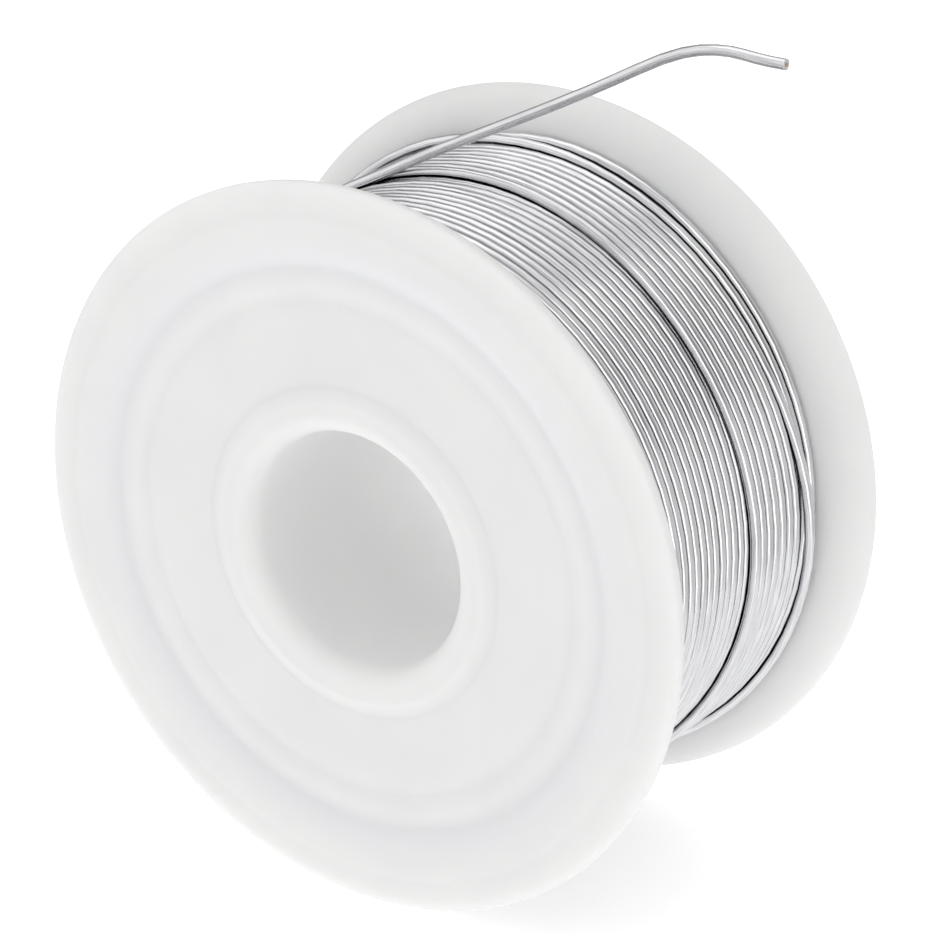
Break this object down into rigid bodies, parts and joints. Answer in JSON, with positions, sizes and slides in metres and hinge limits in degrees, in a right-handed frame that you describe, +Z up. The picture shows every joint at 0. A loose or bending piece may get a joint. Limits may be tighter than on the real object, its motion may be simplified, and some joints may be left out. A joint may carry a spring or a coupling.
{
  "type": "solder wire spool",
  "caption": "White moulded spool wound with bright fine solder wire, one flange recessed around a round bore, free wire end standing up from the winding.",
  "frame": {"origin": "centre of the bore, half way between the two flanges", "axes": "+Y along the spool's axis from the front flange to the rear one, +Z up, with the free wire end leaning to +X"},
  "size_m": [0.055, 0.0276, 0.0648],
  "materials": {
    "spool_plastic": "satin, slightly translucent white moulding",
    "solder_alloy": "bright drawn tin alloy with fine lengthwise streaks",
    "flux": "dark amber rosin"
  },
  "bodies": {
    "root": {"front_spool_half": "spool_plastic", "rear_spool_half": "spool_plastic", "solder_wound_layers": "solder_alloy", "solder_top_layer": "solder_alloy", "solder_free_end": "solder_alloy", "solder_inner_end": "solder_alloy", "flux_core": "flux"}
  },
  "joints": []
}
